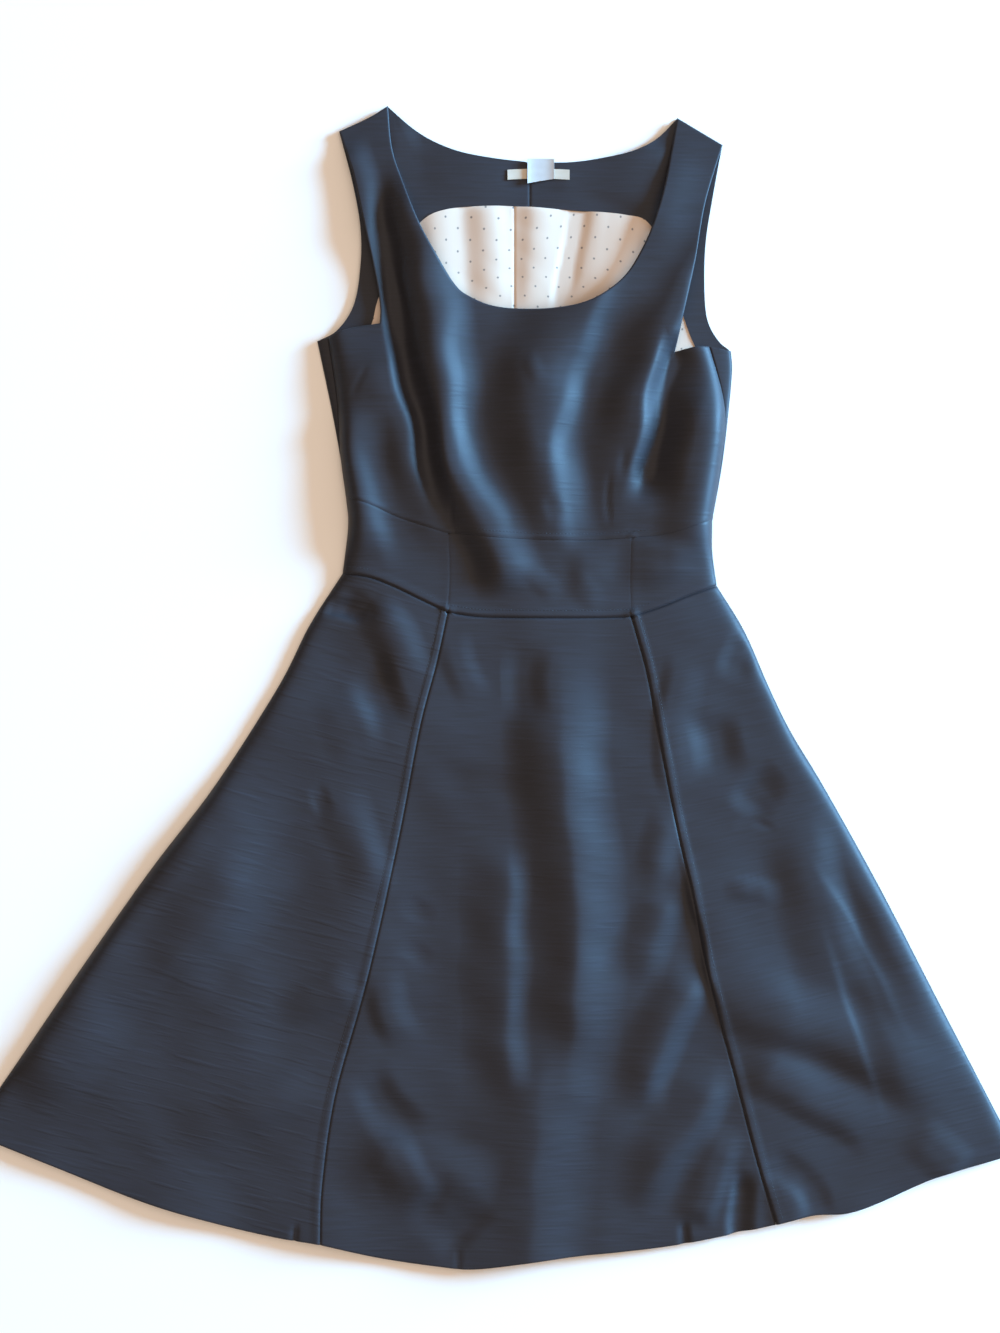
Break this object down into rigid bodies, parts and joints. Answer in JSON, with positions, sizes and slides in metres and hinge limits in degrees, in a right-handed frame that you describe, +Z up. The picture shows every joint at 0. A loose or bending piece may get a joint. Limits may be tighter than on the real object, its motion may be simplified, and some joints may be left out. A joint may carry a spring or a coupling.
{
  "type": "a-line dress laid flat",
  "caption": "Sleeveless A-line dress in dark navy cloth, laid flat front up, with a scoop neck, a set-in waistband, a gored skirt and a dotted back lining.",
  "frame": {"origin": "middle of the box of the laid dress, at the surface it lies on", "axes": "+Y from the hem towards the shoulders, +Z up off the surface, through the back and out of the front; +X to the right as seen from above"},
  "size_m": [0.948, 1.0485, 0.0193],
  "materials": {
    "navy_suiting": "soft lustre dark navy crepe-back suiting with fine crosswise slubs",
    "dotted_lining": "smooth ivory lining with small grey-blue pin dots",
    "woven_label": "matt woven ribbon, bare",
    "care_satin": "soft white satin ribbon, bare"
  },
  "bodies": {
    "root": {"bodice_front": "navy_suiting", "bodice_back_left": "navy_suiting", "bodice_back_right": "navy_suiting", "facing_back_left": "navy_suiting", "facing_back_right": "navy_suiting", "band_front_left": "navy_suiting", "band_front_middle": "navy_suiting", "band_front_right": "navy_suiting", "band_back": "navy_suiting", "skirt_front_left": "navy_suiting", "skirt_front_middle": "navy_suiting", "skirt_front_right": "navy_suiting", "skirt_back": "navy_suiting", "lining_back_left": "dotted_lining", "lining_back_right": "dotted_lining", "neck_label": "woven_label", "care_label": "care_satin"}
  },
  "joints": []
}
